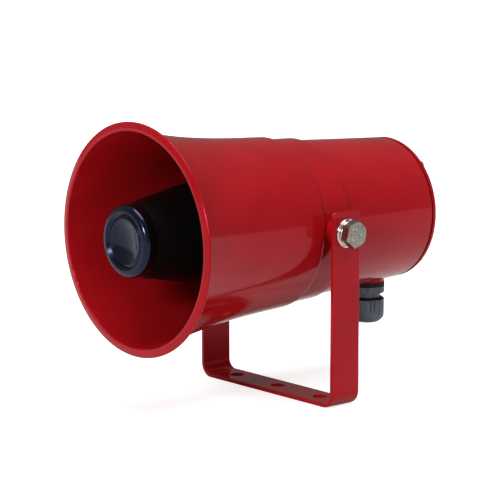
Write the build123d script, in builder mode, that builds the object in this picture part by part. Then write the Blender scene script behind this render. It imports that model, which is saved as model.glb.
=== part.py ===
from build123d import *
from math import cos, radians, sin
import os

# Horn alarm siren on a tilting U-bracket. Millimetres.
# Origin at the centre of the bracket's underside, +Z up, the horn's mouth faces -Y and the
# tilt axis runs along X. A station is a distance along the horn from the tilt axis, negative
# towards the mouth. A radius is measured from the horn's own axis, unless a name says otherwise.

# --- Bracket: one bent flat bar ---
strap_width = 25.0
strap_thickness = 3.0
leg_gap = 8.9
bend_radius = 10.0
pivot_height = 123.0
leg_above_pivot = 15.0
leg_corner_radius = 3.5
bar_edge_radius = 0.5
base_hole_pitch = 45.0
base_hole_radius = 5.25

# --- Tilt pivot: M10 hexagon bolts ---
bolt_radius = 5.0
bolt_length = 22.0
bolt_head_across_flats = 17.0
bolt_head_height = 6.4
bolt_head_chamfer = 0.9
flat_washer_radius = 10.2
washer_edge_round = 0.6
flat_washer_thickness = 1.6
spring_washer_radius = 8.9
spring_washer_thickness = 2.1
spring_washer_gap = 1.6
boss_radius = 8.5
boss_root_depth = 6.2
pivot_clearance = 0.08
leg_clearance = 0.1

# --- Spun bell and the joint behind it ---
mouth_station = -131.0
skirt_rear = -11.0
skirt_radius = 61.0
mouth_radius = 76.0
lip_width = 4.0
skirt_taper = 0.045
bell_wall = 2.0
lip_sweep = 0.9
lip_edge_radius = 0.85
skirt_edge_radius = 1.6
bell_flange_bore = 40.0
joint_gasket = 0.8

# --- Cast pivot ring ---
collar_front_step = 1.9
collar_rear_step = 2.8
collar_rear = 16.0
collar_wall = 4.0
collar_edge_round = 1.2
bulkhead_thickness = 5.0
pad_radius = 24.0
pad_height = 2.8
spigot_gap = 0.6
spigot_wall = 2.9
spigot_length = 7.0
spigot_root_length = 5.0
seal_section = 1.9
seal_groove_width = 2.5
housing_seal_radius = 0.93
seal_clearance = 0.02
pillar_inset = 4.0
pillar_radius = 5.5

# --- Folded horn inside the bell ---
bowl_rim_gap = 0.4
bowl_depth = 14.0
bowl_wall = 2.0
bowl_corner_radius = 6.0
reflector_setback = 2.0
reflector_rear_gap = 21.0
reflector_front_radius = 25.4
reflector_rear_radius = 40.8
reflector_wall = 2.0
reflector_end_wall = 2.5
tube_bore_rear = 10.0
tube_bore_front = 12.5
tube_wall = 2.5
tube_flange_radius = 22.0
tube_flange_thickness = 3.0
tube_mouth_setback = 15.0
spider_thickness = 2.5
spider_length = 28.5
spider_fins = 4
hub_radius = 6.0
hub_length = 9.5
nose_length = 9.8
nose_radius = 25.0
nose_edge_round = 4.6
nose_rim_radius = 19.8
nose_groove_radius = 17.8
nose_groove_depth = 1.9
nose_step_radius = 15.6
nose_step_depth = 1.0
nose_dish_radius = 13.6
nose_dish_depth = 3.6

# --- Compression driver ---
throat_radius = 9.0
neck_radius = 13.9
driver_gasket_thickness = 0.8
adaptor_flange_radius = 40.0
adaptor_flange_thickness = 4.0
adaptor_body_radius = 31.5
adaptor_rear = 8.6
plug_chamber_radius = 18.2
plug_length = 11.0
plug_radius = 12.5
plug_gap = 1.2
surround_thickness = 1.0
dome_radius = 17.6
dome_height = 4.4
dome_thickness = 0.5
dome_clearance = 0.3
coil_former_wall = 0.3
coil_former_length = 7.0
coil_thickness = 1.1
coil_length = 4.0
coil_clearance = 0.5
driver_travel = 0.4
magnet_radius = 32.5
magnet_thickness = 13.0
magnet_bore_radius = 21.0
pole_plate_radius = 31.5
top_plate_thickness = 5.0
back_plate_thickness = 6.0
pole_radius = 16.6

# --- Rear housing and cover ---
housing_step = 1.6
housing_taper = 4.3
housing_rear = 103.5
housing_wall = 3.0
housing_edge_round = 0.6
lug_length = 10.0
housing_screw_thread = 12.0
lug_radius = 5.5
cover_lug_radius = 4.5
cover_lug_length = 12.0
cover_screw_inset = 4.8
cover_gasket_thickness = 1.6
cover_gasket_inset = 1.5
cover_gasket_width = 10.0
cover_thickness = 2.6
cover_dome_radius = 37.0
cover_dome_height = 1.5
cover_edge_round = 0.8

# --- M4 machine screws ---
m4_radius = 2.0
m4_head_radius = 4.0
m4_head_height = 2.6
bell_screw_length = 9.5
driver_screw_length = 8.5
housing_screw_length = 20.0
screw_clearance = 0.25
thread_clearance = 0.05

# --- Electronics ---
standoff_across_flats = 5.5
standoff_circle = 27.0
standoff_length = 28.0
m3_radius = 1.5
m3_head_radius = 2.8
m3_head_height = 1.9
board_screw_length = 7.0
board_radius = 39.0
board_thickness = 1.6
terminal_ways = 6
terminal_pitch = 5.0
terminal_width = 10.0
terminal_height = 12.0
terminal_screw_radius = 1.5
switch_ways = 5
switch_pitch = 2.54
switch_width = 7.0
switch_height = 4.6
lever_size = 1.2
lever_travel = 1.6
lever_depth = 1.5
lever_clearance = 0.12
trimmer_size = 9.6
trimmer_height = 4.8
rotor_radius = 2.9
rotor_depth = 2.5
rotor_proud = 0.6
rotor_clearance = 0.08
chip_length = 19.0
chip_width = 6.4
capacitor_radius = 6.3
capacitor_height = 20.0
core_width = 20.0
core_depth = 18.0
core_stack = 9.0
core_height = 17.0
core_limb = 4.0
coil_gap = 0.3
transistor_thickness = 4.4
sink_height = 20.0
sink_length = 22.0

# --- M20 cable gland ---
gland_station = 89.0
gland_boss_radius = 12.6
gland_boss_proud = 0.8
gland_boss_inside = 2.6
gland_thread_radius = 10.0
gland_hole_clearance = 0.15
gland_bore = 6.5
gland_washer_radius = 12.9
gland_washer_thickness = 3.4
gland_flange_radius = 13.5
gland_flange_flats = 25.4
gland_flange_thickness = 4.6
gland_edge_round = 0.5
gland_neck_radius = 9.9
gland_neck_length = 14.2
gland_neck_seal = 1.5
gland_nut_gap = 5.2
gland_nut_height = 17.4
gland_nut_radius = 13.4
gland_nut_flats = 25.0
gland_nut_dome = 5.5
gland_nut_mouth = 7.0
gland_nut_clearance = 0.12
gland_nut_wall = 2.0
gland_cable_radius = 5.0
gland_seal_wall = 2.4
gland_seal_depth = 10.0
claw_thickness = 1.6
claw_slots = 8
locknut_flats = 24.0
locknut_thickness = 4.0
gland_ribs = 6
gland_rib_groove = 0.55

# --- Places that follow from the sizes above ---
pivot = (0, 0, pivot_height)
horn_axis = Axis(pivot, (0, 1, 0))
tilt_axis = Axis(pivot, (1, 0, 0))
tilt_section = Plane(origin=pivot, x_dir=(1, 0, 0), z_dir=(0, -1, 0))
horn_section = Plane(origin=pivot, x_dir=(0, 1, 0), z_dir=(1, 0, 0))
gland_axis = Axis((0, gland_station, 0), (0, 0, 1))
gland_section = Plane(origin=(0, gland_station, 0), x_dir=(1, 0, 0), z_dir=(0, -1, 0))
lip_radius = mouth_radius + lip_width
collar_front_radius = skirt_radius - collar_front_step
collar_rear_radius = skirt_radius - collar_rear_step
collar_bore = collar_rear_radius - collar_wall
housing_front_radius = collar_rear_radius - housing_step
housing_rear_radius = housing_front_radius - housing_taper
spigot_radius = housing_front_radius - housing_wall - spigot_gap
spigot_bore = spigot_radius - spigot_wall
pillar_circle = spigot_bore - pillar_inset
boss_inner_end = collar_bore - boss_root_depth
leg_inner = collar_front_radius + leg_gap
bracket_width = 2 * (leg_inner + strap_thickness)
boss_face = leg_inner - leg_clearance
washer_seat = leg_inner + strap_thickness + leg_clearance
ring_front = skirt_rear + joint_gasket
bulkhead_rear = ring_front + bulkhead_thickness
pad_front = ring_front - pad_height
spigot_end = collar_rear + spigot_length
bowl_rim_radius = skirt_radius - bell_wall - bowl_rim_gap
bowl_floor_rear = skirt_rear - bell_wall
bowl_floor_front = bowl_floor_rear - bowl_wall
bowl_rim_front = bowl_floor_rear - bowl_depth
tube_flange_front = bowl_floor_front - tube_flange_thickness
reflector_front = mouth_station + reflector_setback
reflector_rear = bowl_rim_front - reflector_rear_gap
tube_mouth = reflector_front + tube_mouth_setback
spider_front = reflector_front + reflector_end_wall
spider_rear = spider_front + spider_length
hub_rear = spider_front + hub_length
nose_front = reflector_front - nose_length
bell_screw_circle = (bell_flange_bore + collar_bore) / 2 - 1.0
tube_screw_circle = tube_flange_radius - m4_head_radius
driver_screw_circle = adaptor_flange_radius - m4_head_radius + screw_clearance
top_plate_front = adaptor_rear + surround_thickness
magnet_front = top_plate_front + top_plate_thickness
back_plate_front = magnet_front + magnet_thickness
back_plate_rear = back_plate_front + back_plate_thickness
board_front = back_plate_rear + standoff_length
board_rear = board_front + board_thickness
cover_radius = housing_rear_radius
cover_screw_circle = housing_rear_radius - cover_screw_inset
cover_gasket_radius = housing_rear_radius - cover_gasket_inset
cover_front = housing_rear + cover_gasket_thickness
cover_rear = cover_front + cover_thickness


def across(station):
    """The plane across the horn at a station, seen from behind: local x left, local y up."""
    return Plane(origin=(0, station, pivot_height), x_dir=(-1, 0, 0), z_dir=(0, 1, 0))


def beside(distance):
    """The plane square to the tilt axis at a distance to the side: local x back, local y up."""
    return horn_section.offset(distance)


def leaning(angle):
    """The horn's section plane turned about the horn by degrees, from upright towards +X."""
    lean = radians(angle)
    return Plane(origin=pivot, x_dir=(0, 1, 0), z_dir=(cos(lean), 0, -sin(lean)))


def under(height):
    """The plane across the gland at a height, facing up."""
    return Plane(origin=(0, gland_station, height))


def outline(*points, plane=horn_section):
    """A closed face through points in a section plane, for turning or for a rib."""
    with BuildSketch(plane) as face:
        with BuildLine():
            Polyline(*points, close=True)
        make_face()
    return face.sketch


def gland_outline(*points):
    """A closed face through (radius, height) points in the gland's section plane."""
    return outline(*points, plane=gland_section)


def circles_of(builder, radius):
    """The circular edges of a radius on the part being built."""
    circles = builder.edges().filter_by(GeomType.CIRCLE)
    return circles.filter_by(lambda edge: abs(edge.radius - radius) < thread_clearance)


def machine_screw(radius, length, head_radius, head_height):
    """A pan-head screw with a cross recess: head on the XY plane, shank below it."""
    with BuildPart() as screw:
        with BuildSketch():
            Circle(head_radius)
        extrude(amount=head_height)
        fillet(screw.edges().group_by(Axis.Z)[-1], head_height * 0.6)
        with BuildSketch():
            Circle(radius)
        extrude(amount=-length)
        with BuildSketch(Plane.XY.offset(head_height)):
            Rectangle(head_radius, head_radius * 0.22)
            Rectangle(head_radius * 0.22, head_radius)
        extrude(amount=-head_height * 0.6, mode=Mode.SUBTRACT)
    return screw.part


def bell_radius(station):
    """Outside of the bell: a slight cone that flares by the cube of the way to the mouth."""
    way = skirt_rear - station
    full_way = skirt_rear - mouth_station
    flare = mouth_radius - skirt_radius - skirt_taper * full_way
    return skirt_radius + skirt_taper * way + flare * (way / full_way) ** 3


def between(station, start, end, start_radius, end_radius):
    """Radius of a cone at a station, from its two end radii."""
    return start_radius + (end_radius - start_radius) * (station - start) / (end - start)


def reflector_radius(station):
    return between(
        station, reflector_front, reflector_rear, reflector_front_radius, reflector_rear_radius
    )


def housing_radius(station):
    return between(
        station, collar_rear, housing_rear, housing_front_radius, housing_rear_radius
    )


def throat(station):
    """Inside of the driver's adaptor, which widens towards the diaphragm."""
    return between(station, pad_front, adaptor_rear, throat_radius, plug_chamber_radius)


def save(part, label):
    part.label = label
    export_step(part, f"parts/{label}.step")


os.makedirs("parts", exist_ok=True)

# ---------------------------------------------------------------- bracket
leg_top = pivot_height + leg_above_pivot
with BuildPart() as bracket:
    with BuildSketch(Plane.XZ) as strap_profile:
        with Locations((0, leg_top / 2)):
            Rectangle(bracket_width, leg_top)
        fillet(strap_profile.vertices().group_by(Axis.Y)[0], bend_radius)
        with BuildSketch(mode=Mode.SUBTRACT) as inside_profile:
            with Locations((0, strap_thickness + leg_top / 2)):
                Rectangle(2 * leg_inner, leg_top)
            fillet(inside_profile.vertices().group_by(Axis.Y)[0], bend_radius - strap_thickness)
    extrude(amount=strap_width / 2, both=True)
    leg_corners = bracket.edges().filter_by(Axis.X).group_by(Axis.Z)[-1]
    fillet(leg_corners, leg_corner_radius)
    side_faces = bracket.faces().filter_by(Axis.Y).sort_by(Axis.Y)
    fillet(side_faces[0].edges() + side_faces[-1].edges(), bar_edge_radius)
    with Locations(Plane.XY.offset(strap_thickness)):
        with GridLocations(base_hole_pitch, base_hole_pitch, 3, 1):
            Hole(base_hole_radius)
    with Locations(beside(0)):
        Hole(bolt_radius + pivot_clearance)
save(bracket.part, "bracket")

# ---------------------------------------------------------------- tilt pivot hardware
with BuildPart() as flat_washers:
    with BuildSketch(beside(washer_seat)):
        Circle(flat_washer_radius)
        Circle(bolt_radius + pivot_clearance, mode=Mode.SUBTRACT)
    extrude(amount=flat_washer_thickness)
    washer_rims = flat_washers.edges().filter_by(GeomType.CIRCLE).sort_by(SortBy.RADIUS)[-2:]
    fillet(washer_rims, washer_edge_round)
    mirror(about=Plane.YZ)
save(flat_washers.part, "flat_washers")

spring_washer_seat = washer_seat + flat_washer_thickness
with BuildPart() as spring_washers:
    with BuildSketch(beside(spring_washer_seat)):
        Circle(spring_washer_radius)
        Circle(bolt_radius + pivot_clearance, mode=Mode.SUBTRACT)
        with Locations((0, -spring_washer_radius)):
            Rectangle(spring_washer_gap, 2 * spring_washer_radius, mode=Mode.SUBTRACT)
    extrude(amount=spring_washer_thickness)
    spring_rims = spring_washers.edges().filter_by(GeomType.CIRCLE).sort_by(SortBy.RADIUS)[-2:]
    fillet(spring_rims, washer_edge_round)
    mirror(about=Plane.YZ)
save(spring_washers.part, "spring_washers")

bolt_seat = spring_washer_seat + spring_washer_thickness
bolt_face = bolt_seat + bolt_head_height
bolt_corner_radius = bolt_head_across_flats / 3**0.5
with BuildPart() as pivot_bolts:
    with BuildSketch(beside(bolt_seat)):
        RegularPolygon(bolt_head_across_flats / 2, 6, major_radius=False, rotation=20)
    extrude(amount=bolt_head_height)
    head_turning = outline(
        (bolt_seat, 0),
        (bolt_seat, bolt_corner_radius),
        (bolt_face - bolt_head_chamfer, bolt_corner_radius),
        (bolt_face, bolt_head_across_flats / 2),
        (bolt_face, 0),
        plane=tilt_section,
    )
    revolve(head_turning, axis=tilt_axis, mode=Mode.INTERSECT)
    with BuildSketch(beside(bolt_seat)):
        Circle(bolt_radius)
    extrude(amount=-bolt_length)
    mirror(about=Plane.YZ)
save(pivot_bolts.part, "pivot_bolts")

# ---------------------------------------------------------------- pivot ring
with BuildPart() as pivot_ring:
    revolve(
        outline(
            (pad_front, neck_radius + thread_clearance),
            (pad_front, pad_radius),
            (ring_front, pad_radius),
            (ring_front, collar_front_radius),
            (collar_rear, collar_rear_radius),
            (collar_rear, spigot_radius),
            (spigot_end, spigot_radius),
            (spigot_end, spigot_bore),
            (collar_rear - spigot_root_length, spigot_bore),
            (collar_rear - spigot_root_length, collar_bore),
            (bulkhead_rear, collar_bore),
            (bulkhead_rear, neck_radius + thread_clearance),
        ),
        axis=horn_axis,
    )
    fillet(circles_of(pivot_ring, collar_rear_radius), collar_edge_round)
    with BuildSketch(across(bulkhead_rear)):
        with PolarLocations(pillar_circle, 3, start_angle=90):
            Circle(pillar_radius)
    extrude(amount=spigot_end - bulkhead_rear)
    with BuildSketch(beside(boss_inner_end)):
        Circle(boss_radius)
    extrude(amount=boss_face - boss_inner_end)
    mirror(about=Plane.YZ)
    groove_bottom = spigot_radius - seal_section
    groove_front = (collar_rear + spigot_end - seal_groove_width) / 2
    revolve(
        outline(
            (groove_front, groove_bottom),
            (groove_front, housing_front_radius),
            (groove_front + seal_groove_width, housing_front_radius),
            (groove_front + seal_groove_width, groove_bottom),
        ),
        axis=horn_axis,
        mode=Mode.SUBTRACT,
    )
    with Locations(beside(0)):
        Hole(bolt_radius + thread_clearance)
    with Locations(across(bulkhead_rear)):
        with PolarLocations(bell_screw_circle, 4, start_angle=45):
            Hole(m4_radius + thread_clearance, bulkhead_thickness)
        with PolarLocations(driver_screw_circle, 4, start_angle=45):
            Hole(m4_radius + thread_clearance, bulkhead_thickness)
        with PolarLocations(tube_screw_circle, 3, start_angle=90):
            Hole(m4_radius + thread_clearance, bulkhead_thickness + pad_height)
    with Locations(across(spigot_end)):
        with PolarLocations(pillar_circle, 3, start_angle=90):
            Hole(m4_radius + thread_clearance, housing_screw_thread)
save(pivot_ring.part, "pivot_ring")

seal_centre = groove_bottom + seal_clearance + housing_seal_radius
with BuildPart() as housing_seal:
    with BuildSketch(horn_section):
        with Locations((groove_front + seal_groove_width / 2, seal_centre)):
            Circle(housing_seal_radius)
    revolve(axis=horn_axis)
save(housing_seal.part, "housing_seal")

# ---------------------------------------------------------------- bell and its joint
bell_stations = [skirt_rear + (mouth_station - skirt_rear) * step / 6 for step in range(7)]
lip_rear = mouth_station + bell_wall
with BuildPart() as horn_bell:
    with BuildSketch(horn_section) as bell_profile:
        with BuildLine():
            outside = Spline(*[(s, bell_radius(s)) for s in bell_stations])
            inside = Spline(*[(s, bell_radius(s) - bell_wall) for s in bell_stations])
            Line(outside @ 0, inside @ 0)
            Line(outside @ 1, inside @ 1)
        make_face()
        with BuildLine():
            Polyline(
                (mouth_station, mouth_radius - bell_wall),
                (mouth_station, mouth_radius),
                (mouth_station + lip_sweep, lip_radius),
                (lip_rear + lip_sweep, lip_radius),
                (lip_rear + bell_wall / 2, mouth_radius - bell_wall),
                close=True,
            )
        make_face()
        with BuildLine():
            Polyline(
                (skirt_rear, bell_flange_bore),
                (skirt_rear, skirt_radius - bell_wall / 2),
                (bowl_floor_rear, skirt_radius - bell_wall / 2),
                (bowl_floor_rear, bell_flange_bore),
                close=True,
            )
        make_face()
        mouth_edge = bell_profile.vertices().group_by(Axis.X)[0].sort_by(Axis.Y)[0]
        fillet(mouth_edge, lip_edge_radius)
        fillet(bell_profile.vertices().group_by(Axis.Y)[-1], lip_edge_radius)
    revolve(axis=horn_axis)
    fillet(circles_of(horn_bell, skirt_radius), skirt_edge_radius)
    with Locations(across(skirt_rear)):
        with PolarLocations(bell_screw_circle, 4, start_angle=45):
            Hole(m4_radius + screw_clearance, bell_wall)
save(horn_bell.part, "horn_bell")

with BuildPart() as bell_gasket:
    with BuildSketch(across(skirt_rear)):
        Circle(collar_front_radius - seal_clearance)
        Circle(bell_flange_bore, mode=Mode.SUBTRACT)
        with PolarLocations(bell_screw_circle, 4, start_angle=45):
            Circle(m4_radius + screw_clearance, mode=Mode.SUBTRACT)
    extrude(amount=joint_gasket)
save(bell_gasket.part, "bell_gasket")

# ---------------------------------------------------------------- folded horn
with BuildPart() as horn_bowl:
    revolve(
        outline(
            (bowl_floor_rear, neck_radius + screw_clearance),
            (bowl_floor_rear, bowl_rim_radius),
            (bowl_rim_front, bowl_rim_radius),
            (bowl_rim_front, bowl_rim_radius - bowl_wall),
            (bowl_floor_front, bowl_rim_radius - bowl_wall),
            (bowl_floor_front, neck_radius + screw_clearance),
        ),
        axis=horn_axis,
    )
    inside_corner = circles_of(horn_bowl, bowl_rim_radius - bowl_wall).sort_by(Axis.Y)[-1]
    fillet(inside_corner, bowl_corner_radius)
    outside_corner = circles_of(horn_bowl, bowl_rim_radius).sort_by(Axis.Y)[-1]
    fillet(outside_corner, bowl_wall)
    with Locations(across(bowl_floor_rear)):
        with PolarLocations(bell_screw_circle, 4, start_angle=45):
            Hole(m4_radius + screw_clearance, bowl_wall)
        with PolarLocations(tube_screw_circle, 3, start_angle=90):
            Hole(m4_radius + screw_clearance, bowl_wall)
save(horn_bowl.part, "horn_bowl")

with BuildPart() as sound_tube:
    revolve(
        outline(
            (bowl_floor_rear, tube_bore_rear),
            (bowl_floor_rear, neck_radius),
            (bowl_floor_front, neck_radius),
            (bowl_floor_front, tube_flange_radius),
            (tube_flange_front, tube_flange_radius),
            (tube_flange_front, tube_bore_rear + tube_wall),
            (tube_mouth, tube_bore_front + tube_wall),
            (tube_mouth, tube_bore_front),
        ),
        axis=horn_axis,
    )
    revolve(
        outline(
            (spider_front, m4_radius + thread_clearance),
            (spider_front, hub_radius),
            (hub_rear - hub_radius / 2, hub_radius),
            (hub_rear, m4_radius + thread_clearance),
        ),
        axis=horn_axis,
    )
    inside_reflector = reflector_wall + thread_clearance
    for fin in range(spider_fins):
        fin_outline = outline(
            (spider_front, m4_radius + 1.0),
            (spider_front, reflector_radius(spider_front) - inside_reflector),
            (spider_rear, reflector_radius(spider_rear) - inside_reflector),
            (spider_rear, tube_bore_front + tube_wall / 2),
            (tube_mouth, tube_bore_front + tube_wall / 2),
            (tube_mouth - 0.5, hub_radius - 1.5),
            (hub_rear - 1.0, m4_radius + 1.0),
            plane=leaning(45 + 360 * fin / spider_fins),
        )
        extrude(fin_outline, amount=spider_thickness / 2, both=True)
    with Locations(across(bowl_floor_front)):
        with PolarLocations(tube_screw_circle, 3, start_angle=90):
            Hole(m4_radius + screw_clearance, tube_flange_thickness)
save(sound_tube.part, "sound_tube")

with BuildPart() as reflector:
    revolve(
        outline(
            (reflector_front, m4_radius + screw_clearance),
            (reflector_front, reflector_front_radius),
            (reflector_rear, reflector_rear_radius),
            (reflector_rear, reflector_rear_radius - reflector_wall),
            (spider_front, reflector_radius(spider_front) - reflector_wall),
            (spider_front, m4_radius + screw_clearance),
        ),
        axis=horn_axis,
    )
save(reflector.part, "reflector")

nose_screw_room = reflector_front - m4_head_height - screw_clearance
nose_side = nose_front + nose_edge_round
with BuildPart() as nose_cap:
    with BuildSketch(horn_section):
        with BuildLine():
            RadiusArc(
                (nose_front + nose_dish_depth, 0),
                (nose_front + nose_step_depth, nose_dish_radius),
                -nose_dish_radius**2 / (2 * (nose_dish_depth - nose_step_depth)),
            )
            Polyline(
                (nose_front + nose_step_depth, nose_dish_radius),
                (nose_front + nose_step_depth / 2, nose_step_radius),
                (nose_front + nose_groove_depth, nose_groove_radius),
                (nose_front, nose_rim_radius),
            )
            TangentArc((nose_side, nose_radius), (nose_front, nose_rim_radius), tangent=(-1, 0))
            Polyline(
                (nose_side, nose_radius),
                (reflector_front, nose_radius),
                (reflector_front, m4_head_radius + screw_clearance),
                (nose_screw_room, m4_head_radius + screw_clearance),
                (nose_screw_room, 0),
                (nose_front + nose_dish_depth, 0),
            )
        make_face()
    revolve(axis=horn_axis)
save(nose_cap.part, "nose_cap")

bell_screw = machine_screw(m4_radius, bell_screw_length, m4_head_radius, m4_head_height)
facing_mouth = Rotation(180, 0, 0)
with BuildPart() as bell_screws:
    with Locations(across(bowl_floor_front)):
        with PolarLocations(bell_screw_circle, 4, start_angle=45):
            add(facing_mouth * bell_screw)
save(bell_screws.part, "bell_screws")

with BuildPart() as tube_screws:
    with Locations(across(tube_flange_front)):
        with PolarLocations(tube_screw_circle, 3, start_angle=90):
            add(facing_mouth * bell_screw)
save(tube_screws.part, "tube_screws")

with BuildPart() as nose_screw:
    with Locations(across(reflector_front)):
        add(facing_mouth * bell_screw)
save(nose_screw.part, "nose_screw")

# ---------------------------------------------------------------- compression driver
adaptor_front = bulkhead_rear + driver_gasket_thickness
with BuildPart() as driver_gasket:
    with BuildSketch(across(bulkhead_rear)):
        Circle(adaptor_flange_radius)
        Circle(neck_radius + screw_clearance, mode=Mode.SUBTRACT)
        with PolarLocations(driver_screw_circle, 4, start_angle=45):
            Circle(m4_radius + screw_clearance, mode=Mode.SUBTRACT)
    extrude(amount=driver_gasket_thickness)
save(driver_gasket.part, "driver_gasket")

adaptor_flange_rear = adaptor_front + adaptor_flange_thickness
with BuildPart() as driver_adaptor:
    revolve(
        outline(
            (pad_front, throat_radius),
            (pad_front, neck_radius),
            (adaptor_front, neck_radius),
            (adaptor_front, adaptor_flange_radius),
            (adaptor_flange_rear, adaptor_flange_radius),
            (adaptor_flange_rear, adaptor_body_radius),
            (adaptor_rear, adaptor_body_radius),
            (adaptor_rear, plug_chamber_radius),
        ),
        axis=horn_axis,
    )
    with Locations(across(adaptor_flange_rear)):
        with PolarLocations(driver_screw_circle, 4, start_angle=45):
            Hole(m4_radius + screw_clearance, adaptor_flange_thickness)
save(driver_adaptor.part, "driver_adaptor")

dome_rim = top_plate_front - dome_clearance
dome_apex = dome_rim - dome_height
plug_rear = dome_apex - plug_gap
with BuildPart() as phase_plug:
    revolve(
        outline((plug_rear - plug_length, 0), (plug_rear, plug_radius), (plug_rear, 0)),
        axis=horn_axis,
    )
    fin_front = plug_rear - plug_length / 2
    for fin in range(3):
        fin_outline = outline(
            (fin_front, plug_radius / 4),
            (fin_front, throat(fin_front) - thread_clearance),
            (plug_rear, throat(plug_rear) - thread_clearance),
            (plug_rear, plug_radius / 4),
            plane=leaning(360 * fin / 3),
        )
        extrude(fin_outline, amount=spider_thickness / 3, both=True)
save(phase_plug.part, "phase_plug")

with BuildPart() as diaphragm_surround:
    with BuildSketch(across(adaptor_rear)):
        Circle(adaptor_body_radius)
        Circle(dome_radius + dome_clearance, mode=Mode.SUBTRACT)
    extrude(amount=surround_thickness)
save(diaphragm_surround.part, "diaphragm_surround")

former_rear = dome_rim + coil_former_length
with BuildPart() as diaphragm:
    with BuildSketch(horn_section):
        with BuildLine():
            TangentArc((dome_apex, 0), (dome_rim, dome_radius), tangent=(0, 1))
            Polyline(
                (dome_rim, dome_radius),
                (former_rear, dome_radius),
                (former_rear, dome_radius - coil_former_wall),
                (dome_rim + dome_thickness, dome_radius - coil_former_wall),
            )
            TangentArc(
                (dome_apex + dome_thickness, 0),
                (dome_rim + dome_thickness, dome_radius - coil_former_wall),
                tangent=(0, 1),
            )
            Line((dome_apex, 0), (dome_apex + dome_thickness, 0))
        make_face()
    revolve(axis=horn_axis)
save(diaphragm.part, "diaphragm")

coil_front = top_plate_front + driver_travel + seal_clearance
coil_outer_radius = dome_radius + coil_thickness
with BuildPart() as voice_coil:
    with BuildSketch(across(coil_front)):
        Circle(coil_outer_radius)
        Circle(dome_radius, mode=Mode.SUBTRACT)
    extrude(amount=coil_length)
save(voice_coil.part, "voice_coil")

with BuildPart() as top_plate:
    with BuildSketch(across(top_plate_front)):
        Circle(pole_plate_radius)
        Circle(coil_outer_radius + coil_clearance, mode=Mode.SUBTRACT)
    extrude(amount=top_plate_thickness)
save(top_plate.part, "top_plate")

with BuildPart() as ring_magnet:
    with BuildSketch(across(magnet_front)):
        Circle(magnet_radius)
        Circle(magnet_bore_radius, mode=Mode.SUBTRACT)
    extrude(amount=magnet_thickness)
    rims = ring_magnet.edges().filter_by(GeomType.CIRCLE).sort_by(SortBy.RADIUS)
    chamfer(rims[-2:], 1.0)
save(ring_magnet.part, "ring_magnet")

with BuildPart() as back_plate:
    with BuildSketch(across(back_plate_front)):
        Circle(pole_plate_radius)
    extrude(amount=back_plate_thickness)
    with BuildSketch(across(back_plate_front)):
        Circle(pole_radius)
    extrude(amount=-(back_plate_front - top_plate_front - dome_clearance))
    chamfer(back_plate.edges().sort_by(Axis.Y)[0], 1.0)
    with Locations(across(back_plate_rear)):
        with PolarLocations(standoff_circle, 3, start_angle=90):
            Hole(m3_radius + thread_clearance, back_plate_thickness)
save(back_plate.part, "back_plate")

driver_screw = machine_screw(m4_radius, driver_screw_length, m4_head_radius, m4_head_height)
with BuildPart() as driver_screws:
    with Locations(across(adaptor_flange_rear)):
        with PolarLocations(driver_screw_circle, 4, start_angle=45):
            add(driver_screw)
save(driver_screws.part, "driver_screws")

# ---------------------------------------------------------------- circuit board
with BuildPart() as board_standoffs:
    with BuildSketch(across(back_plate_rear)):
        with PolarLocations(standoff_circle, 3, start_angle=90):
            RegularPolygon(standoff_across_flats / 2, 6, major_radius=False)
    extrude(amount=standoff_length)
    with BuildSketch(across(back_plate_rear)):
        with PolarLocations(standoff_circle, 3, start_angle=90):
            Circle(m3_radius)
    extrude(amount=-back_plate_thickness + 1.0)
    with Locations(across(board_front)):
        with PolarLocations(standoff_circle, 3, start_angle=90):
            Hole(m3_radius + thread_clearance, board_screw_length)
save(board_standoffs.part, "board_standoffs")

with BuildPart() as circuit_board:
    with BuildSketch(across(board_front)):
        Circle(board_radius)
        with PolarLocations(standoff_circle, 3, start_angle=90):
            Circle(m3_radius + screw_clearance, mode=Mode.SUBTRACT)
    extrude(amount=board_thickness)
save(circuit_board.part, "circuit_board")

board_screw = machine_screw(m3_radius, board_screw_length, m3_head_radius, m3_head_height)
with BuildPart() as board_screws:
    with Locations(across(board_rear)):
        with PolarLocations(standoff_circle, 3, start_angle=90):
            add(board_screw)
save(board_screws.part, "board_screws")

# Places on the board's rear face: to the left and up as seen from behind.
board_face = across(board_rear)
terminal_place = (0, -board_radius + 12.0)
switch_place = (-14.0, board_radius / 2)
trimmer_place = (12.0, board_radius / 2)
core_place = (-8.5, -3.0)
chip_place = (-1.0, 11.0)
sink_place = (-board_radius + 8.0, 2.0)
capacitor_places = [(15.5, 1.5), (29.0, 1.5)]

terminal_length = terminal_ways * terminal_pitch
with BuildPart() as terminal_block:
    with BuildSketch(board_face):
        with Locations(terminal_place):
            Rectangle(terminal_length, terminal_width)
    extrude(amount=terminal_height)
    with BuildSketch(board_face.offset(terminal_height)):
        with Locations(terminal_place):
            with GridLocations(terminal_pitch, 1, terminal_ways, 1):
                Circle(terminal_screw_radius + screw_clearance)
    extrude(amount=-terminal_height / 2, mode=Mode.SUBTRACT)
    entry_face = Plane(
        origin=(0, board_rear + terminal_height / 4, pivot_height + terminal_place[1]),
        x_dir=(-1, 0, 0),
        z_dir=(0, 0, -1),
    ).offset(terminal_width / 2)
    with BuildSketch(entry_face):
        with GridLocations(terminal_pitch, 1, terminal_ways, 1):
            Rectangle(terminal_pitch * 0.6, terminal_height / 4)
    extrude(amount=-terminal_width * 0.7, mode=Mode.SUBTRACT)
save(terminal_block.part, "terminal_block")

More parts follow.
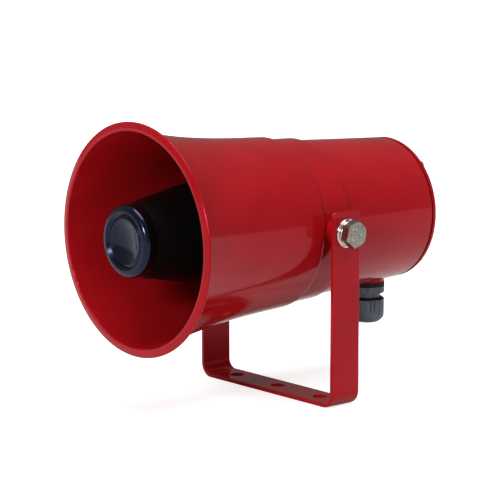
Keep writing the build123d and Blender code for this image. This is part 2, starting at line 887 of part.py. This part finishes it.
with BuildPart() as terminal_screws:
    with BuildSketch(board_face.offset(terminal_height / 2)):
        with Locations(terminal_place):
            with GridLocations(terminal_pitch, 1, terminal_ways, 1):
                Circle(terminal_screw_radius)
    extrude(amount=terminal_height / 3)
    with BuildSketch(board_face.offset(terminal_height * 5 / 6)):
        with Locations(terminal_place):
            with GridLocations(terminal_pitch, 1, terminal_ways, 1):
                Rectangle(3 * terminal_screw_radius, terminal_screw_radius / 2)
    extrude(amount=-terminal_screw_radius / 2, mode=Mode.SUBTRACT)
save(terminal_screws.part, "terminal_screws")

lever_window = lever_size + 2 * lever_clearance
with BuildPart() as tone_switch:
    with BuildSketch(board_face):
        with Locations(switch_place):
            Rectangle((switch_ways + 0.6) * switch_pitch, switch_width)
    extrude(amount=switch_height)
    with BuildSketch(board_face.offset(switch_height)):
        with Locations(switch_place):
            with GridLocations(switch_pitch, 1, switch_ways, 1):
                Rectangle(lever_window, lever_window + lever_travel)
    extrude(amount=-lever_depth - lever_clearance, mode=Mode.SUBTRACT)
save(tone_switch.part, "tone_switch")

lever_bottom = board_face.offset(switch_height - lever_depth)
for way in range(switch_ways):
    lever_x = switch_place[0] + (way - (switch_ways - 1) / 2) * switch_pitch
    with BuildPart() as tone_lever:
        with BuildSketch(lever_bottom):
            with Locations((lever_x, switch_place[1] - lever_travel / 2)):
                Rectangle(lever_size, lever_size)
        extrude(amount=lever_depth + lever_size)
    save(tone_lever.part, f"tone_lever_{way + 1}")

with BuildPart() as volume_trimmer:
    with BuildSketch(board_face):
        with Locations(trimmer_place):
            Rectangle(trimmer_size, trimmer_size)
    extrude(amount=trimmer_height)
    with BuildSketch(board_face.offset(trimmer_height)):
        with Locations(trimmer_place):
            Circle(rotor_radius + rotor_clearance)
    extrude(amount=-rotor_depth - rotor_clearance, mode=Mode.SUBTRACT)
save(volume_trimmer.part, "volume_trimmer")

rotor_bottom = board_face.offset(trimmer_height - rotor_depth)
with BuildPart() as volume_rotor:
    with BuildSketch(rotor_bottom):
        with Locations(trimmer_place):
            Circle(rotor_radius)
    extrude(amount=rotor_depth + rotor_proud)
    with BuildSketch(board_face.offset(trimmer_height + rotor_proud)):
        with Locations(trimmer_place):
            Rectangle(2 * rotor_radius, 0.8)
    extrude(amount=-1.2, mode=Mode.SUBTRACT)
save(volume_rotor.part, "volume_rotor")

with BuildPart() as transformer_core:
    with BuildSketch(board_face):
        with Locations(core_place):
            Rectangle(core_width, core_stack)
    extrude(amount=core_height)
    window_width = (core_width - 3 * core_limb) / 2
    window_offset = (core_limb + window_width) / 2
    with BuildSketch(board_face.offset(core_limb)):
        with Locations(core_place):
            with GridLocations(2 * window_offset, 1, 2, 1):
                Rectangle(window_width, core_stack)
    extrude(amount=core_height - 2 * core_limb, mode=Mode.SUBTRACT)
save(transformer_core.part, "transformer_core")

with BuildPart() as transformer_coil:
    with BuildSketch(board_face.offset(core_limb + coil_gap)):
        with Locations(core_place):
            RectangleRounded(core_width - 2 * core_limb - 2 * coil_gap, core_depth, 2.0)
            Rectangle(core_limb, core_stack, mode=Mode.SUBTRACT)
    extrude(amount=core_height - 2 * core_limb - 2 * coil_gap)
save(transformer_coil.part, "transformer_coil")

with BuildPart() as capacitors:
    with BuildSketch(board_face):
        with Locations(*capacitor_places):
            Circle(capacitor_radius)
    extrude(amount=capacitor_height)
    fillet(capacitors.edges().filter_by(GeomType.CIRCLE), 0.8)
save(capacitors.part, "capacitors")

with BuildPart() as control_chip:
    with BuildSketch(board_face.offset(0.6)):
        with Locations(chip_place):
            Rectangle(chip_length, chip_width)
    extrude(amount=3.2)
    with BuildSketch(board_face):
        with Locations(chip_place):
            with GridLocations(2.54, chip_width, 7, 2):
                Rectangle(0.6, 0.6)
    extrude(amount=2.0)
save(control_chip.part, "control_chip")

with BuildPart() as heat_sink:
    with BuildSketch(board_face):
        with Locations(sink_place):
            Rectangle(1.8, sink_length)
            with Locations((-2.6, 0)):
                with GridLocations(1, sink_length / 5 - 0.3, 1, 5):
                    Rectangle(4.4, 1.4)
    extrude(amount=sink_height)
save(heat_sink.part, "heat_sink")

with BuildPart() as power_transistors:
    with BuildSketch(board_face.offset(2.0)):
        with Locations((sink_place[0] + 0.9 + transistor_thickness / 2, sink_place[1])):
            with GridLocations(1, sink_length / 2, 1, 2):
                Rectangle(transistor_thickness, 10.0)
    extrude(amount=15.0)
    with BuildSketch(board_face):
        with Locations((sink_place[0] + 0.9 + transistor_thickness / 2, sink_place[1])):
            with GridLocations(1, sink_length / 2, 1, 2):
                with GridLocations(1, 2.54, 1, 3):
                    Rectangle(0.6, 0.8)
    extrude(amount=3.0)
save(power_transistors.part, "power_transistors")

# ---------------------------------------------------------------- rear housing and cover
housing_bottom = pivot_height - housing_radius(gland_station)
gland_boss_face = housing_bottom - gland_boss_proud
gland_boss_inner = housing_bottom + housing_wall + gland_boss_inside
with BuildPart() as rear_housing:
    revolve(
        outline(
            (collar_rear, housing_front_radius),
            (housing_rear, housing_rear_radius),
            (housing_rear, housing_rear_radius - housing_wall),
            (collar_rear, housing_front_radius - housing_wall),
        ),
        axis=horn_axis,
    )
    fillet(circles_of(rear_housing, housing_rear_radius), housing_edge_round)
    wall_reach = housing_radius(spigot_end) - housing_wall / 2 - pillar_circle
    with BuildSketch(across(spigot_end)):
        with PolarLocations(pillar_circle, 3, start_angle=90):
            Circle(lug_radius)
            with Locations((wall_reach / 2, 0)):
                Rectangle(wall_reach, 2 * lug_radius)
    extrude(amount=lug_length)
    cover_reach = housing_rear_radius - housing_wall / 2 - cover_screw_circle
    with BuildSketch(across(housing_rear)):
        with PolarLocations(cover_screw_circle, 4, start_angle=45):
            Circle(cover_lug_radius)
            with Locations((cover_reach / 2, 0)):
                Rectangle(cover_reach, 2 * cover_lug_radius)
    extrude(amount=-cover_lug_length)
    with BuildSketch(under(gland_boss_face)):
        Circle(gland_boss_radius)
    extrude(amount=gland_boss_inner - gland_boss_face)
    with Locations(under(gland_boss_inner)):
        Hole(gland_thread_radius + gland_hole_clearance, gland_boss_inner - gland_boss_face)
    with Locations(across(spigot_end + lug_length)):
        with PolarLocations(pillar_circle, 3, start_angle=90):
            Hole(m4_radius + screw_clearance, lug_length)
    with Locations(across(housing_rear)):
        with PolarLocations(cover_screw_circle, 4, start_angle=45):
            Hole(m4_radius + thread_clearance, cover_lug_length - 1.0)
save(rear_housing.part, "rear_housing")

housing_screw = machine_screw(m4_radius, housing_screw_length, m4_head_radius, m4_head_height)
with BuildPart() as housing_screws:
    with Locations(across(spigot_end + lug_length)):
        with PolarLocations(pillar_circle, 3, start_angle=90):
            add(housing_screw)
save(housing_screws.part, "housing_screws")

with BuildPart() as cover_gasket:
    with BuildSketch(across(housing_rear)):
        Circle(cover_gasket_radius)
        Circle(cover_gasket_radius - cover_gasket_width, mode=Mode.SUBTRACT)
        with PolarLocations(cover_screw_circle, 4, start_angle=45):
            Circle(m4_radius + screw_clearance, mode=Mode.SUBTRACT)
    extrude(amount=cover_gasket_thickness)
save(cover_gasket.part, "cover_gasket")

with BuildPart() as rear_cover:
    with BuildSketch(across(cover_front)):
        Circle(cover_radius)
    extrude(amount=cover_thickness)
    fillet(rear_cover.edges().sort_by(Axis.Y)[-1], cover_edge_round)
    with BuildSketch(across(cover_rear)):
        Circle(cover_dome_radius)
    extrude(amount=cover_dome_height)
    fillet(rear_cover.edges().sort_by(Axis.Y)[-1], cover_dome_height * 0.6)
    with Locations(across(cover_rear)):
        with PolarLocations(cover_screw_circle, 4, start_angle=45):
            Hole(m4_radius + screw_clearance, cover_thickness)
save(rear_cover.part, "rear_cover")

cover_screw_length = cover_thickness + cover_gasket_thickness + cover_lug_length - 3.0
cover_screw = machine_screw(m4_radius, cover_screw_length, m4_head_radius, m4_head_height)
with BuildPart() as cover_screws:
    with Locations(across(cover_rear)):
        with PolarLocations(cover_screw_circle, 4, start_angle=45):
            add(cover_screw)
save(cover_screws.part, "cover_screws")

# ---------------------------------------------------------------- cable gland
washer_bottom = gland_boss_face - gland_washer_thickness
flange_bottom = washer_bottom - gland_flange_thickness
gland_body_end = flange_bottom - gland_neck_length
gland_nut_top = flange_bottom - gland_nut_gap
gland_nut_bottom = gland_nut_top - gland_nut_height
locknut_top = gland_boss_inner + locknut_thickness
with BuildPart() as gland_washer:
    with BuildSketch(under(washer_bottom)):
        Circle(gland_washer_radius)
        Circle(gland_thread_radius + gland_hole_clearance, mode=Mode.SUBTRACT)
    extrude(amount=gland_washer_thickness)
save(gland_washer.part, "gland_washer")

seal_seat_radius = gland_cable_radius + gland_seal_wall + thread_clearance
seal_top = gland_body_end + gland_seal_depth
with BuildPart() as gland_body:
    revolve(
        gland_outline(
            (gland_bore, locknut_top + 1.5),
            (gland_thread_radius, locknut_top + 1.5),
            (gland_thread_radius, washer_bottom),
            (gland_flange_radius, washer_bottom),
            (gland_flange_radius, flange_bottom),
            (gland_neck_radius, flange_bottom),
            (gland_neck_radius, gland_body_end),
            (seal_seat_radius, gland_body_end),
            (seal_seat_radius, seal_top),
            (gland_bore, seal_top),
        ),
        axis=gland_axis,
    )
    flange_corners = gland_flange_flats / 3**0.5
    with BuildSketch(under(flange_bottom)):
        Circle(2 * gland_flange_radius)
        RegularPolygon(flange_corners, 6, rotation=12, mode=Mode.SUBTRACT)
    extrude(amount=gland_flange_thickness, mode=Mode.SUBTRACT)
save(gland_body.part, "gland_body")

with BuildPart() as gland_locknut:
    with BuildSketch(under(gland_boss_inner)):
        RegularPolygon(locknut_flats / 2, 6, major_radius=False)
        Circle(gland_thread_radius + gland_hole_clearance, mode=Mode.SUBTRACT)
    extrude(amount=locknut_thickness)
save(gland_locknut.part, "gland_locknut")

with BuildPart() as gland_neck_ring:
    with BuildSketch(gland_section):
        ring_middle = gland_neck_radius + seal_clearance + gland_neck_seal / 2
        with Locations((ring_middle, gland_nut_top + seal_clearance + gland_neck_seal / 2)):
            Circle(gland_neck_seal / 2)
    revolve(axis=gland_axis)
save(gland_neck_ring.part, "gland_neck_ring")

claw_bottom = gland_nut_bottom + gland_nut_wall + 0.6
with BuildPart() as gland_seal:
    with BuildSketch(under(claw_bottom)):
        Circle(gland_cable_radius + gland_seal_wall)
        Circle(gland_cable_radius, mode=Mode.SUBTRACT)
    extrude(amount=seal_top - claw_bottom - seal_clearance)
save(gland_seal.part, "gland_seal")

claw_outer_radius = seal_seat_radius + claw_thickness
with BuildPart() as gland_claw:
    revolve(
        gland_outline(
            (seal_seat_radius, gland_body_end),
            (claw_outer_radius, gland_body_end),
            (claw_outer_radius, claw_bottom + 2.0),
            (claw_outer_radius - claw_thickness / 2, claw_bottom),
            (seal_seat_radius, claw_bottom),
        ),
        axis=gland_axis,
    )
    with BuildSketch(under(claw_bottom)):
        with PolarLocations(claw_outer_radius, claw_slots):
            Rectangle(2 * claw_thickness + 1.0, 1.0)
    extrude(amount=(gland_body_end - claw_bottom) * 0.7, mode=Mode.SUBTRACT)
save(gland_claw.part, "gland_claw")

nut_bore = gland_neck_radius + gland_nut_clearance
with BuildPart() as gland_nut:
    with BuildSketch(gland_section):
        with BuildLine():
            shoulder = (gland_nut_radius, gland_nut_bottom + gland_nut_dome + 2.5)
            foot = (gland_nut_mouth + 1.0, gland_nut_bottom)
            Polyline(
                foot,
                (gland_nut_mouth, gland_nut_bottom),
                (gland_nut_mouth, gland_nut_bottom + gland_nut_wall / 2),
                (nut_bore, claw_bottom + 2.0),
                (nut_bore, gland_nut_top),
                (gland_nut_radius, gland_nut_top),
                shoulder,
            )
            TangentArc(shoulder, foot, tangent=(0, -1))
        make_face()
    revolve(axis=gland_axis)
    nut_corners = gland_nut_flats / 3**0.5
    with BuildSketch(under(gland_nut_bottom)):
        Circle(2 * gland_nut_radius)
        RegularPolygon(nut_corners, 6, rotation=12, mode=Mode.SUBTRACT)
    extrude(amount=gland_nut_top - gland_nut_bottom, mode=Mode.SUBTRACT)
    groove_height = gland_nut_top - shoulder[1] + 1.0
    with BuildSketch(under(shoulder[1])):
        for side in range(gland_ribs):
            with PolarLocations(gland_nut_flats / 2, 2, 28 + 60 * side, angular_range=28):
                Circle(gland_rib_groove)
    extrude(amount=groove_height, mode=Mode.SUBTRACT)
save(gland_nut.part, "gland_nut")
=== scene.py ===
from math import cos, radians, sin

import bpy
from mathutils import Matrix, Vector

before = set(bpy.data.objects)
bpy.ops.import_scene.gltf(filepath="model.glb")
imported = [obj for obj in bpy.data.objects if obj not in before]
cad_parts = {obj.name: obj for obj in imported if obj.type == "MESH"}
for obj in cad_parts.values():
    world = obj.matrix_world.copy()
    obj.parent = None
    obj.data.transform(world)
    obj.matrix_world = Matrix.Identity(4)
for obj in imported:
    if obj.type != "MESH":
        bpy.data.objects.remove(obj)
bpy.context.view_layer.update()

MM = 0.001
film_width_mm = 36
view_depth = 50
floor_size = 80.0
floor_glow = 0.72
room_dim = 0.27
room_bright = 0.16
room_turn_start = 0.1
room_turn_end = 0.9
winding_wire_mm = 0.25

# ---------------------------------------------------------------- small tools


def linear(hex_colour):
    """An sRGB hex colour as the linear RGBA that shader sockets take."""
    channels = [int(hex_colour[i:i + 2], 16) / 255 for i in (1, 3, 5)]
    curve = [c / 12.92 if c <= 0.04045 else ((c + 0.055) / 1.055) ** 2.4 for c in channels]
    return (*curve, 1.0)


def add(tree, kind, sockets=None, **settings):
    """Adds a node: settings are its properties, sockets get a value or another node's output."""
    node = tree.nodes.new(kind)
    for name, value in settings.items():
        setattr(node, name, value)
    for name, value in (sockets or {}).items():
        if isinstance(value, bpy.types.NodeSocket):
            tree.links.new(value, node.inputs[name])
        else:
            node.inputs[name].default_value = value
    return node


def new_material(name, **constants):
    """A material with its Principled shader, whose constant sockets are set by name."""
    material = bpy.data.materials.new(name)
    material.use_nodes = True
    tree = material.node_tree
    tree.nodes.clear()
    sockets = {socket.replace("_", " "): value for socket, value in constants.items()}
    shader = add(tree, "ShaderNodeBsdfPrincipled", sockets)
    add(tree, "ShaderNodeOutputMaterial", {"Surface": shader.outputs["BSDF"]})
    place = add(tree, "ShaderNodeTexCoord").outputs["Object"]
    return material, tree, shader, place


def grain(tree, place, size_mm, detail=2.0, roughness=0.5, stretch=(1, 1, 1)):
    """Noise with blotches about size_mm across, stretched along an axis where that is asked."""
    scaled = add(tree, "ShaderNodeVectorMath", {0: place, 1: stretch}, operation="MULTIPLY")
    noise = add(tree, "ShaderNodeTexNoise", {
        "Vector": scaled.outputs["Vector"],
        "Scale": 1 / (size_mm * MM),
        "Detail": detail,
        "Roughness": roughness,
    })
    return noise.outputs["Fac"]


def spread(tree, value, low, high, start=0.35, end=0.65):
    """Maps a noise value between start and end to the range low to high."""
    return add(tree, "ShaderNodeMapRange", {
        "Value": value, "From Min": start, "From Max": end, "To Min": low, "To Max": high,
    }).outputs["Result"]


def tint(tree, value, dark, light, start=0.35, end=0.65):
    """A colour between two sRGB hex colours, by a noise value."""
    ramp = add(tree, "ShaderNodeValToRGB", {"Fac": value})
    ramp.color_ramp.elements[0].position = start
    ramp.color_ramp.elements[0].color = linear(dark)
    ramp.color_ramp.elements[1].position = end
    ramp.color_ramp.elements[1].color = linear(light)
    return ramp.outputs["Color"]


def relief(tree, height, depth_mm, normal=None):
    """A bump of a real depth in millimetres."""
    sockets = {"Height": height, "Strength": 1.0, "Distance": depth_mm * MM}
    if normal:
        sockets["Normal"] = normal
    return add(tree, "ShaderNodeBump", sockets).outputs["Normal"]

# ---------------------------------------------------------------- materials


def gloss_enamel(name, peel_mm, peel_depth_mm):
    """Red stoving enamel: a deep saturated film, with a wet gloss in faint orange peel."""
    material, tree, shader, place = new_material(
        name, IOR=1.5, Specular_IOR_Level=0.65, Specular_Tint=linear("#ff5e7e"))
    film = tint(tree, grain(tree, place, 38, 3.0), "#9b0f15", "#a51319")
    tree.links.new(film, shader.inputs["Base Color"])
    flow = grain(tree, place, peel_mm, 2.0, 0.45)
    specks = spread(tree, grain(tree, place, 0.9, 1.0), 0.0, 1.0, 0.70, 0.80)
    peel = relief(tree, flow, peel_depth_mm)
    tree.links.new(relief(tree, specks, 0.006, peel), shader.inputs["Normal"])
    haze = spread(tree, grain(tree, place, 14, 3.0), 0.07, 0.13)
    tree.links.new(haze, shader.inputs["Roughness"])
    return material


def moulded_gloss_black(name):
    """Polished-tool ABS: nearly black with a cold blue sheen and a tight, slightly wavy gloss."""
    material, tree, shader, place = new_material(
        name, IOR=1.54, Specular_Tint=linear("#b4c4ff"))
    body = tint(tree, grain(tree, place, 9, 3.0), "#030407", "#07080c")
    tree.links.new(body, shader.inputs["Base Color"])
    tree.links.new(spread(tree, grain(tree, place, 4, 3.0), 0.12, 0.22), shader.inputs["Roughness"])
    sink_marks = grain(tree, place, 6, 1.0)
    tree.links.new(relief(tree, sink_marks, 0.03), shader.inputs["Normal"])
    return material


def moulded_satin_black(name):
    """ABS from a fine spark-eroded tool: a dull black that greys a little at its edges."""
    material, tree, shader, place = new_material(name, IOR=1.5, Specular_IOR_Level=0.12)
    body = tint(tree, grain(tree, place, 12, 3.0), "#050505", "#080808")
    tree.links.new(body, shader.inputs["Base Color"])
    tree.links.new(spread(tree, grain(tree, place, 3, 2.0), 0.42, 0.52), shader.inputs["Roughness"])
    # spark erosion is about 0.1 mm across; drawn at 0.5 mm so that it shows
    tree.links.new(relief(tree, grain(tree, place, 0.5, 2.0), 0.012), shader.inputs["Normal"])
    return material


def moulded_nylon(name, dark, light):
    """Glass-filled nylon: slate grey, satin, with faint flow streaks along its height."""
    material, tree, shader, place = new_material(name, IOR=1.53)
    streaks = grain(tree, place, 3.5, 4.0, 0.6, (1, 1, 0.25))
    tree.links.new(tint(tree, streaks, dark, light), shader.inputs["Base Color"])
    tree.links.new(spread(tree, grain(tree, place, 2, 2.0), 0.3, 0.42), shader.inputs["Roughness"])
    tree.links.new(relief(tree, grain(tree, place, 0.6, 2.0), 0.015), shader.inputs["Normal"])
    return material


def black_rubber(name):
    """EPDM rubber: soft black with a dusty bloom."""
    material, tree, shader, place = new_material(name, IOR=1.52, Specular_IOR_Level=0.3)
    bloom = tint(tree, grain(tree, place, 2.5, 4.0), "#0d0e0e", "#1b1c1d")
    tree.links.new(bloom, shader.inputs["Base Color"])
    tree.links.new(spread(tree, grain(tree, place, 1.5, 2.0), 0.6, 0.8), shader.inputs["Roughness"])
    tree.links.new(relief(tree, grain(tree, place, 0.4, 2.0), 0.02), shader.inputs["Normal"])
    return material


def forged_stainless(name):
    """Stainless bolt as forged and tumbled: warm grey, pitted, with bright worn high spots."""
    material, tree, shader, place = new_material(name, Metallic=1.0)
    pits = grain(tree, place, 1.6, 5.0, 0.65)
    tree.links.new(tint(tree, pits, "#77756c", "#b4b1a6"), shader.inputs["Base Color"])
    tree.links.new(spread(tree, pits, 0.42, 0.22), shader.inputs["Roughness"])
    tree.links.new(relief(tree, pits, 0.14), shader.inputs["Normal"])
    return material


def polished_stainless(name):
    """Tumbled stainless washers: bright and smooth, with fine handling marks."""
    material, tree, shader, place = new_material(name, Metallic=1.0)
    marks = grain(tree, place, 2.2, 4.0, 0.6)
    tree.links.new(tint(tree, marks, "#cfcfc8", "#ebebe6"), shader.inputs["Base Color"])
    tree.links.new(spread(tree, marks, 0.12, 0.26), shader.inputs["Roughness"])
    tree.links.new(relief(tree, marks, 0.01), shader.inputs["Normal"])
    return material


def zinc_plate(name, dark, light):
    """Bright zinc passivate: a cool or yellowish bloom over turned steel."""
    material, tree, shader, place = new_material(name, Metallic=1.0)
    bloom = grain(tree, place, 3.0, 4.0)
    tree.links.new(tint(tree, bloom, dark, light), shader.inputs["Base Color"])
    tree.links.new(spread(tree, bloom, 0.24, 0.38), shader.inputs["Roughness"])
    tree.links.new(relief(tree, grain(tree, place, 0.5, 2.0), 0.008), shader.inputs["Normal"])
    return material


def bare_metal(name, dark, light, rough_low, rough_high, grain_mm, depth_mm):
    """Unpainted metal: its grain varies the colour, the polish and a shallow relief."""
    material, tree, shader, place = new_material(name, Metallic=1.0)
    crystals = grain(tree, place, grain_mm, 4.0, 0.6)
    tree.links.new(tint(tree, crystals, dark, light), shader.inputs["Base Color"])
    tree.links.new(spread(tree, crystals, rough_low, rough_high), shader.inputs["Roughness"])
    tree.links.new(relief(tree, crystals, depth_mm), shader.inputs["Normal"])
    return material


def moulded_part(name, dark, light, rough_low, rough_high):
    """A small moulded part: even colour, slight gloss variation and a fine tool texture."""
    material, tree, shader, place = new_material(name, IOR=1.5)
    tree.links.new(tint(tree, grain(tree, place, 3, 3.0), dark, light), shader.inputs["Base Color"])
    polish = spread(tree, grain(tree, place, 1.5, 2.0), rough_low, rough_high)
    tree.links.new(polish, shader.inputs["Roughness"])
    tree.links.new(relief(tree, grain(tree, place, 0.4, 2.0), 0.01), shader.inputs["Normal"])
    return material


def wound_copper(name):
    """Enamelled wire in layers: fine rings across the winding, copper under an amber lacquer, with
    painted shade in the grooves between turns and a painted highlight along each crown.
    """
    material, tree, shader, place = new_material(
        name, Metallic=0.85, Coat_Weight=0.6, Coat_Roughness=0.15)
    wave = add(tree, "ShaderNodeTexWave", {
        "Vector": place, "Scale": 1 / (2 * winding_wire_mm * MM), "Distortion": 0.3,
    }, bands_direction="Y")
    turns = wave.outputs["Fac"]
    # painted shade and highlight: the copper colour darkens in the grooves between turns and
    # lightens on their crowns, by the same bands as the relief
    lacquer_with_groove_shade = tint(tree, turns, "#6b2c12", "#c8703a", 0.2, 0.8)
    tree.links.new(lacquer_with_groove_shade, shader.inputs["Base Color"])
    tree.links.new(spread(tree, grain(tree, place, 1.5), 0.25, 0.4), shader.inputs["Roughness"])
    tree.links.new(relief(tree, turns, 0.05), shader.inputs["Normal"])
    return material


enamel_on_spinning = gloss_enamel("gloss enamel on spun aluminium", 2.6, 0.010)
enamel_on_casting = gloss_enamel("gloss enamel on cast aluminium", 1.9, 0.014)
enamel_on_bar = gloss_enamel("gloss enamel on steel bar", 2.2, 0.012)

finishes = {
    enamel_on_spinning: "horn_bell horn_bowl",
    enamel_on_casting: "pivot_ring rear_housing rear_cover",
    enamel_on_bar: "bracket",
    forged_stainless("forged stainless steel"): "pivot_bolts",
    polished_stainless("tumbled stainless steel"): "flat_washers spring_washers",
    zinc_plate("passivated zinc on steel", "#77796a", "#a3a68f"): "cover_screws",
    zinc_plate("bright zinc on steel", "#9fa3a6", "#c4c8cb"):
        "bell_screws tube_screws nose_screw driver_screws "
        "housing_screws board_screws terminal_screws",
    moulded_satin_black("satin moulded ABS"): "reflector sound_tube phase_plug",
    moulded_gloss_black("gloss moulded ABS"): "nose_cap",
    moulded_nylon("glass-filled nylon", "#454b57", "#5d6573"):
        "gland_body gland_nut gland_claw gland_locknut",
    black_rubber("moulded rubber"):
        "bell_gasket housing_seal cover_gasket driver_gasket "
        "gland_washer gland_neck_ring gland_seal",
    bare_metal("die-cast aluminium", "#8e8f91", "#b5b6b8", 0.35, 0.5, 1.5, 0.03):
        "driver_adaptor heat_sink",
    bare_metal("nickel-plated iron", "#8c8d8c", "#b4b5b3", 0.22, 0.36, 2.5, 0.01):
        "top_plate back_plate transformer_core",
    bare_metal("turned brass", "#a8842f", "#d3b15e", 0.18, 0.3, 1.2, 0.01): "board_standoffs",
    moulded_part("sintered ferrite", "#17181a", "#26282b", 0.5, 0.7): "ring_magnet",
    moulded_part("polyimide film", "#7a4a16", "#a86d22", 0.2, 0.35):
        "diaphragm diaphragm_surround",
    wound_copper("enamelled copper winding"): "voice_coil transformer_coil",
    moulded_part("solder mask on glass laminate", "#0b3d1e", "#135a2d", 0.2, 0.35):
        "circuit_board",
    moulded_part("green moulded polyamide", "#1f7a3c", "#2b9450", 0.35, 0.5):
        "terminal_block",
    moulded_part("blue moulded polyester", "#16407f", "#1f54a3", 0.3, 0.45):
        "tone_switch volume_trimmer",
    moulded_part("white moulded polyester", "#d5d5cc", "#ecece5", 0.3, 0.45):
        "volume_rotor tone_lever_1 tone_lever_2 tone_lever_3 tone_lever_4 tone_lever_5",
    moulded_part("black moulded epoxy", "#121214", "#1e1e21", 0.4, 0.6):
        "control_chip power_transistors capacitors",
}
for material, names in finishes.items():
    for name in names.split():
        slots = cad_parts[name].data.materials
        slots.clear()
        slots.append(material)

# ---------------------------------------------------------------- floor, light and camera


def wide_sun(name, power, spread_degrees, way):
    """An even light from the given way, as wide as a soft box or as narrow as a lamp."""
    lamp = bpy.data.lights.new(name, "SUN")
    lamp.energy = power
    lamp.angle = radians(spread_degrees)
    holder = bpy.data.objects.new(name, lamp)
    holder.rotation_euler = Vector(way).to_track_quat("Z", "Y").to_euler()
    bpy.context.scene.collection.objects.link(holder)


def white_floor(size):
    """A pale matt light table under the bracket: it glows for the lens more than it lights."""
    bpy.ops.object.select_all(action="DESELECT")
    bpy.ops.mesh.primitive_plane_add(size=size, location=(0, 0, 0))
    floor = bpy.context.object
    floor.name = "floor"
    material, tree, shader, place = new_material(
        "lit white acrylic",
        Roughness=0.9, Specular_IOR_Level=0.1, Emission_Color=linear("#ffffff"))
    direct = add(tree, "ShaderNodeLightPath").outputs["Is Camera Ray"]
    glow = spread(tree, direct, 0.0, floor_glow, 0.0, 1.0)
    tree.links.new(glow, shader.inputs["Emission Strength"])
    sheet = tint(tree, grain(tree, place, 40, 2.0), "#d2d2d2", "#d6d6d6")
    tree.links.new(sheet, shader.inputs["Base Color"])
    floor.data.materials.append(material)


def studio_air(bright_way, dim, bright):
    """A white surround whose light goes from dim to bright across the room; the lens sees white."""
    world = bpy.data.worlds.new("studio")
    world.use_nodes = True
    tree = world.node_tree
    tree.nodes.clear()
    way = add(tree, "ShaderNodeTexCoord").outputs["Generated"]
    facing = add(tree, "ShaderNodeVectorMath", {0: way, 1: bright_way}, operation="DOT_PRODUCT")
    glow = add(tree, "ShaderNodeMapRange", {
        "Value": facing.outputs["Value"],
        "From Min": room_turn_start, "From Max": room_turn_end,
        "To Min": dim, "To Max": bright,
    }, interpolation_type="SMOOTHSTEP")
    seen = add(tree, "ShaderNodeMath", {
        0: add(tree, "ShaderNodeLightPath").outputs["Is Camera Ray"], 1: glow.outputs["Result"],
    }, operation="MAXIMUM")
    surround = add(tree, "ShaderNodeBackground", {
        "Color": linear("#ffffff"), "Strength": seen.outputs["Value"]})
    add(tree, "ShaderNodeOutputWorld", {"Surface": surround.outputs["Background"]})
    bpy.context.scene.world = world


camera_azimuth = radians(49.01)
camera_elevation = radians(9.68)
camera_distance = 1.4823
aim_height = 0.10204
aim_aside = -0.02005
lens_mm = 149.36
right = Vector((cos(camera_azimuth), sin(camera_azimuth), 0))
back = Vector((
    sin(camera_azimuth) * cos(camera_elevation),
    -cos(camera_azimuth) * cos(camera_elevation),
    sin(camera_elevation),
))
up = back.cross(right)
camera = bpy.data.objects.new("camera", bpy.data.cameras.new("camera"))
camera.data.lens = lens_mm
camera.data.sensor_width = film_width_mm
camera.data.clip_end = view_depth
spot = Vector((0, 0, aim_height)) + right * aim_aside + back * camera_distance
camera.matrix_world = Matrix((
    (right.x, up.x, back.x, spot.x),
    (right.y, up.y, back.y, spot.y),
    (right.z, up.z, back.z, spot.z),
    (0, 0, 0, 1),
))
bpy.context.scene.collection.objects.link(camera)
bpy.context.scene.camera = camera

white_floor(floor_size)
studio_air(tuple(-back), room_dim, room_bright)
wide_sun("overhead light", power=2.3, spread_degrees=45, way=(0, 0, 1))
wide_sun("front light", power=1.7, spread_degrees=12, way=(0.35, -1, 0.45))
wide_sun("key lamp", power=0.5, spread_degrees=6, way=(0.56, 0.18, 0.81))
bpy.context.scene.view_settings.view_transform = "Standard"
